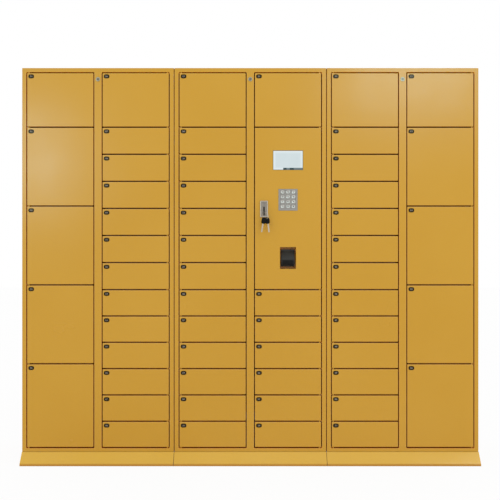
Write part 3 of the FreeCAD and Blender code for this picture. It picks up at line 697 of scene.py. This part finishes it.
def crease_group():
    """Geometry nodes that drop stored normals and keep a crease only where faces meet over thirty degrees."""
    group = bpy.data.node_groups.new("smooth_by_angle", "GeometryNodeTree")
    for direction in ("INPUT", "OUTPUT"):
        group.interface.new_socket("Geometry", in_out=direction, socket_type="NodeSocketGeometry")
    entry, exit_node = group.nodes.new("NodeGroupInput"), group.nodes.new("NodeGroupOutput")
    angle = group.nodes.new("GeometryNodeInputMeshEdgeAngle")
    sharp = group.nodes.new("FunctionNodeCompare")
    sharp.operation = "GREATER_THAN"
    sharp.inputs["B"].default_value = crease_angle
    normals = group.nodes.new("GeometryNodeSetMeshNormal")
    normals.inputs["Remove Custom"].default_value = True
    normals.inputs["Face Sharpness"].default_value = False
    group.links.new(entry.outputs[0], normals.inputs["Mesh"])
    group.links.new(angle.outputs["Unsigned Angle"], sharp.inputs["A"])
    group.links.new(sharp.outputs[0], normals.inputs["Edge Sharpness"])
    group.links.new(normals.outputs[0], exit_node.inputs[0])
    return group


creases = crease_group()


def round_edges(node, width):
    """Merge the loose triangles, round every edge over thirty degrees, and let flat faces keep flat normals."""
    weld = node.modifiers.new("weld", "WELD")
    weld.merge_threshold = weld_distance
    bevel = node.modifiers.new("rounded_edges", "BEVEL")
    bevel.width = width
    bevel.segments = 2
    bevel.limit_method = "ANGLE"
    bevel.angle_limit = crease_angle
    node.modifiers.new("smooth_by_angle", "NODES").node_group = creases
    weighted = node.modifiers.new("flat_faces_first", "WEIGHTED_NORMAL")
    weighted.keep_sharp = True


rounded = 0
for name, node in nodes.items():
    width = bevel_widths.get(name, door_bevel if name.startswith("door_") else None)
    if width:
        round_edges(node, width)
        rounded += 1
print("rounded the edges of", rounded, "nodes")

# %% [markdown]
# ## Surfaces from arrays
#
# The added pieces are low domes on an upright face. They could be modelled by hand, one by one. Instead each is
# a function of two parameters worked out on a grid: one runs round an outline, the other from the rim to the
# middle. The whole grid is computed at once, and the quads between neighbours follow from its numbering.

# %% Mesh helpers
def ring_faces(rings, around):
    """Quads between neighbouring rings of a closed grid, and one face over the last ring."""
    row, column = np.meshgrid(np.arange(rings - 1), np.arange(around), indexing="ij")
    following = (column + 1) % around
    quads = np.stack([row * around + column, row * around + following,
                      (row + 1) * around + following, (row + 1) * around + column], axis=-1).reshape(-1, 4)
    cap = np.arange(around) + (rings - 1) * around
    return quads, cap


def add_piece(name, points, faces, coat, body, smooth=True):
    """A mesh object at the origin with one finish, riding on a body."""
    mesh = bpy.data.meshes.new(name)
    mesh.from_pydata(points.tolist(), [], faces)
    mesh.materials.append(coat)
    mesh.polygons.foreach_set("use_smooth", np.full(len(mesh.polygons), smooth))
    mesh.update()
    piece = bpy.data.objects.new(name, mesh)
    bpy.context.scene.collection.objects.link(piece)
    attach(piece, body)
    return piece


def superellipse(half_width, half_height, power, around):
    """|x/a|^n + |z/b|^n = 1, walked at equal angles, anticlockwise."""
    angle = np.linspace(0.0, 2 * np.pi, around, endpoint=False)
    cosine, sine = np.cos(angle), np.sin(angle)
    radius = (np.abs(cosine / half_width) ** power + np.abs(sine / half_height) ** power) ** (-1 / power)
    return np.stack([radius * cosine, radius * sine], axis=-1)


def domes(centres, outline, sizes, rises, back=False):
    """Copies of one low dome on upright faces: ring k is the outline times sizes[k], standing out by rises[k].

    outline is an array of (x, z) points, anticlockwise seen from the front; centres is an array of points.
    With back set, a face over the first ring closes the shape behind.
    """
    around = len(outline)
    rings = len(sizes)
    flat = outline[None, :, :] * np.asarray(sizes)[:, None, None]
    out = np.broadcast_to(-np.asarray(rises)[:, None], (rings, around))
    shape = np.stack([flat[:, :, 0], out, flat[:, :, 1]], axis=-1).reshape(-1, 3)
    points = (centres[:, None, :] + shape[None, :, :]).reshape(-1, 3)
    quads, cap = ring_faces(rings, around)
    faces = []
    for index in range(len(centres)):
        start = index * rings * around
        faces.extend((quads + start).tolist())
        faces.append((cap + start).tolist())
        if back:
            faces.append((np.arange(around)[::-1] + start).tolist())
    return points, faces


print("mesh helpers ready")

# %% [markdown]
# ## Printed digits
#
# The digits are flat prints. Strokes could be drawn from arrays too, but Blender's text already has good
# outlines. So each word is made as text, taken over as a mesh, centred on its own box, turned upright and
# moved to its place; the text object itself is removed again.

# %% Digits from text
size_per_height = 1.4
stroke_swell = 0.028


def print_text(name, words, places, height, coat, body, stretch=1.0):
    """Flat digits made from text: each word is made a mesh, then turned upright and moved to its place."""
    points = []
    faces = []
    count = 0
    for word, place in zip(words, places):
        curve = bpy.data.curves.new(name, "FONT")
        curve.body = word
        curve.size = height * size_per_height
        curve.align_x = "CENTER"
        curve.align_y = "CENTER"
        curve.offset = height * stroke_swell
        curve.resolution_u = 3
        text = bpy.data.objects.new(name, curve)
        bpy.context.scene.collection.objects.link(text)
        bpy.context.view_layer.update()
        flat = bpy.data.meshes.new_from_object(text.evaluated_get(bpy.context.evaluated_depsgraph_get()))
        local = np.empty(len(flat.vertices) * 3)
        flat.vertices.foreach_get("co", local)
        local = local.reshape(-1, 3)
        middle = (local.min(0) + local.max(0)) / 2
        local = local - middle
        points.append(np.stack([local[:, 0] * stretch + place[0], np.full(len(local), place[1]),
                                local[:, 1] + place[2]], axis=-1))
        faces.extend([[vertex + count for vertex in polygon.vertices] for polygon in flat.polygons])
        count += len(local)
        bpy.data.objects.remove(text)
        bpy.data.curves.remove(curve)
        bpy.data.meshes.remove(flat)
    return add_piece(name, np.concatenate(points), faces, coat, body, smooth=False)


print("digits ready")

# %% [markdown]
# ## Number badges
#
# Each door has a black pill with pale digits in its upper left corner. The pill could be a rounded box; a
# superellipse is rounder than a rectangle and squarer than an oval, and needs one formula only. A low dome
# over that outline gives the glossy moulded edge, and the digits are printed on its flat middle. A badge
# rides on its own door.

# %% Badges on every compartment door
badge_half = (0.0149, 0.0107)
badge_power = 2.9
badge_around = 40
badge_inset = (0.0215, 0.0190)
top_badge_lift = 0.0026
badge_height = 0.0012
digit_height = 0.0078
digit_stretch = 1.25
print_gap = 0.00006
badge_outline = superellipse(*badge_half, badge_power, badge_around)
badge_sizes = (1.0, 1.0, 0.985, 0.94, 0.86)
badge_rises = np.array((0.0, 0.45, 0.75, 0.94, 1.0)) * badge_height
control_letter, control_index = "d", 1
bank_first, bank_length = 2, 3


def door_table():
    """Rows of (column letter, place in it, number, left edge, top edge), down each column from the left."""
    rows = []
    number = 0
    for letter, (module, side, heights) in column_plans.items():
        centre = (module - 1) * module_pitch
        left = centre + (door_near if side > 0 else -door_far)
        lines = gap_heights(heights)
        place = 0
        for index in range(len(heights)):
            if letter == control_letter and index == control_index:
                continue
            place += 1
            number += 1
            rows.append((letter, place, number, left, lines[index] - row_gap / 2))
    return rows


def body_of(letter, place):
    """The CAD body of a door: its own, or the bank of three that it belongs to."""
    single = "door_%s%d" % (letter, place)
    if single in nodes:
        return single
    first = bank_first + (place - bank_first) // bank_length * bank_length
    return "door_bank_%s%d_to_%s%d" % (letter, first, letter, first + bank_length - 1)


badges = {}
for letter, place, number, left, top in door_table():
    lift = top_badge_lift if place == 1 else 0.0
    spot = (left + badge_inset[0], face_y, top - badge_inset[1] + lift)
    badges.setdefault(body_of(letter, place), []).append(("%02d" % number, spot))
for body, entries in badges.items():
    centres = np.array([spot for word, spot in entries])
    piece = add_piece("badge_" + body, *domes(centres, badge_outline, badge_sizes, badge_rises),
                      badge_black, body)
    front = centres - np.array([0.0, badge_height + print_gap, 0.0])
    words = [word for word, spot in entries]
    digits = print_text("digits_" + body, words, front, digit_height, badge_white, body, digit_stretch)
print("badges on", len(badges), "bodies, doors", sum(len(entries) for entries in badges.values()))

# %% [markdown]
# ## Key caps
#
# The keypad's metal caps are rounded squares with a raised rim and a shallow dish for the fingertip, which is
# why each looks like a pale ring round a dark digit. The CAD keys are plain blocks. Bump could hint at the
# dish, but a grid of the same size gives it a true shape: rings go up the side, over the rim and down into it.

# %% Dished caps in place of the CAD keys
key_sizes = (1.0, 1.0, 0.99, 0.95, 0.88, 0.80, 0.72, 0.45, 0.2)
key_rises = np.array((-4.0, 2.75, 3.2, 3.5, 3.6, 3.5, 3.2, 2.75, 2.6)) / 1000
key_words = (("1", "2", "3"), ("4", "5", "6"), ("7", "8", "9"), ("*", "0", "#"))
key_across = 0.0284
key_power = 4.4
key_around = 36
key_digit_height = 0.0068
keypad_low, keypad_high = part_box("keypad_plate")
keypad_x = (keypad_low.x + keypad_high.x) / 2
for row, words in enumerate(key_words):
    body = "keypad_row_%d" % (row + 1)
    low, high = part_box(body)
    cap_half = (np.array([high.x - low.x - 2 * key_across, high.z - low.z]) / 2).tolist()
    outline = superellipse(*cap_half, key_power, key_around)
    row_z = (low.z + high.z) / 2
    centres = np.array([[keypad_x + (column - 1) * key_across, face_y, row_z] for column in range(3)])
    caps = add_piece("caps_" + body, *domes(centres, outline, key_sizes, key_rises), cap_metal, body)
    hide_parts(body)
    front = centres - np.array([0.0, key_rises[-1] + 2 * print_gap, 0.0])
    ink = print_text("digits_" + body, words, front, key_digit_height, digit_ink, body)
print("key caps", [round(half * 2000, 1) for half in cap_half], "mm")

# %% [markdown]
# ## Spare keys
#
# Two keys hang on the ring, one behind the other, and their moulded heads nearly hide the gap between them.
# The CAD heads are plain plates with a hole. A bevel would still leave them flat, so soft pads with a rounded
# outline stand for them, in the same two planes and tilted as the blades are.

# %% Moulded key heads
head_half = (0.0121, 0.0165)
head_power = 3.4
head_around = 40
head_spread = 0.0093
head_tilts = np.radians((9.0, -6.0))
head_sizes = (0.86, 0.96, 1.0, 1.0, 0.96, 0.86)
head_half_depth = 0.0027
head_rises = np.array((-1.0, -0.9, -0.6, 0.6, 0.9, 1.0)) * head_half_depth
head_outline = superellipse(*head_half, head_power, head_around)
keys_low, keys_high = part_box("spare_keys")
keys_middle = (keys_low + keys_high) / 2
head_planes = (keys_low.y + head_half_depth, keys_high.y - head_half_depth)


def turned_outline(outline, angle):
    """The outline turned about its middle: x cos a + z sin a, z cos a - x sin a."""
    cosine, sine = np.cos(angle), np.sin(angle)
    return outline @ np.array([[cosine, -sine], [sine, cosine]])


head_points = []
head_faces = []
for side, tilt, plane in zip((-1, 1), head_tilts, head_planes):
    spot = np.array([[keys_middle.x + side * head_spread, plane, keys_middle.z]])
    points, faces = domes(spot, turned_outline(head_outline, tilt), head_sizes, head_rises, back=True)
    start = sum(map(len, head_points))
    head_faces.extend([[corner + start for corner in face] for face in faces])
    head_points.append(points)
key_heads = add_piece("spare_key_heads", np.concatenate(head_points), head_faces, key_black, "spare_keys")
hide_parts("spare_keys")
print("spare key heads", [round(half * 2000, 1) for half in head_half], "mm")

# %% [markdown]
# ## Floor and world
#
# The photograph is cut out on white. A white floor and sky could simply be lit, but then they would grey off in
# the shade. Here the rays that come from the camera, or are mirrored, see nearly plain white, and only the
# other rays see a floor that takes a shadow and a sky of even, slightly lower light.

# %% White floor and sky
floor_size = 40.0
floor_white_share = 0.93
world_level = 0.93


def seen_directly(tree):
    """One on rays from the camera, mirrored rays and rays through glass; zero on the rays that carry light."""
    path = tree.nodes.new("ShaderNodeLightPath")
    kinds = ("Is Camera Ray", "Is Glossy Ray", "Is Transmission Ray")
    from_camera, mirrored, through_glass = [Value(tree, path.outputs[kind]) for kind in kinds]
    return from_camera.most(mirrored).most(through_glass)


corner = floor_size / 2
floor_mesh = bpy.data.meshes.new("studio_floor")
floor_mesh.from_pydata([(-corner, -corner, 0), (corner, -corner, 0), (corner, corner, 0), (-corner, corner, 0)],
                       [], [(0, 1, 2, 3)])
floor = bpy.data.objects.new("studio_floor", floor_mesh)
bpy.context.scene.collection.objects.link(floor)

floor_finish = Finish("studio_floor", (0.9, 0.9, 0.9), Roughness=0.9, Specular_IOR_Level=0.1)
floor_tree = floor_finish.tree
white = floor_tree.nodes.new("ShaderNodeEmission")
blend = floor_tree.nodes.new("ShaderNodeMixShader")
wire(floor_tree, blend.inputs[0], seen_directly(floor_tree) * floor_white_share)
floor_tree.links.new(floor_finish.shader.outputs[0], blend.inputs[1])
floor_tree.links.new(white.outputs[0], blend.inputs[2])
floor_tree.links.new(blend.outputs[0], floor_tree.nodes["Material Output"].inputs["Surface"])
floor_mesh.materials.append(floor_finish.material)

world = bpy.data.worlds.new("studio")
bpy.context.scene.world = world
world.use_nodes = True
sky = world.node_tree
backdrop = sky.nodes["Background"]
backdrop.inputs["Color"].default_value = (1, 1, 1, 1)
wire(sky, backdrop.inputs["Strength"], world_level + seen_directly(sky) * (1 - world_level))
print("floor", floor_size, "m, world level", world_level)

# %% [markdown]
# ## Lamps and camera
#
# Even light alone would leave the satin paint flat. Two cool soft panels stand where the left and the upper
# right doors mirror them, so that the paint shows two pale clouds there. A third panel stands high at the
# upper right and brightens the right end of the skirt. Panels are set by radiance, not by watts, because
# radiance is what a mirror shows. The camera stands straight in front, and level, so that the doors' edges
# stay upright.

# %% Lamps and camera
def soft_panel(name, place, target, width, height, radiance, colour=(1.0, 1.0, 1.0)):
    """An area lamp turned to a point; its power follows from its radiance: watts = pi * area * radiance."""
    lamp = bpy.data.lights.new(name, "AREA")
    lamp.shape = "RECTANGLE"
    lamp.size = width
    lamp.size_y = height
    lamp.energy = np.pi * width * height * radiance
    lamp.color = colour
    panel = bpy.data.objects.new(name, lamp)
    panel.location = place
    panel.rotation_euler = (Vector(target) - Vector(place)).to_track_quat("-Z", "Y").to_euler()
    bpy.context.scene.collection.objects.link(panel)


cool_white = (0.54, 0.89, 1.0)
soft_panel("overhead_panel", place=(2.1, -2.9, 4.6), target=(1.0, -0.25, 0.1),
           width=1.5, height=0.7, radiance=3.6)
soft_panel("left_panel", place=(-2.34, -4.6, 2.1), target=(-1.16, -0.2, 1.6),
           width=0.6, height=0.8, radiance=12.0, colour=cool_white)
soft_panel("right_panel", place=(1.75, -4.6, 3.0), target=(0.88, -0.2, 2.0),
           width=1.5, height=0.5, radiance=10.5, colour=cool_white)

camera = bpy.data.cameras.new("camera")
camera.lens = 58.65
camera.sensor_width = 36.0
camera_spot = bpy.data.objects.new("camera", camera)
camera_spot.location = (-0.0016, -4.5135, 1.1278)
camera_spot.rotation_euler = (np.pi / 2, 0.0, 0.0)
bpy.context.scene.collection.objects.link(camera_spot)
bpy.context.scene.camera = camera_spot
bpy.context.scene.view_settings.view_transform = "Standard"
print("camera", tuple(camera_spot.location), "lens", camera.lens)
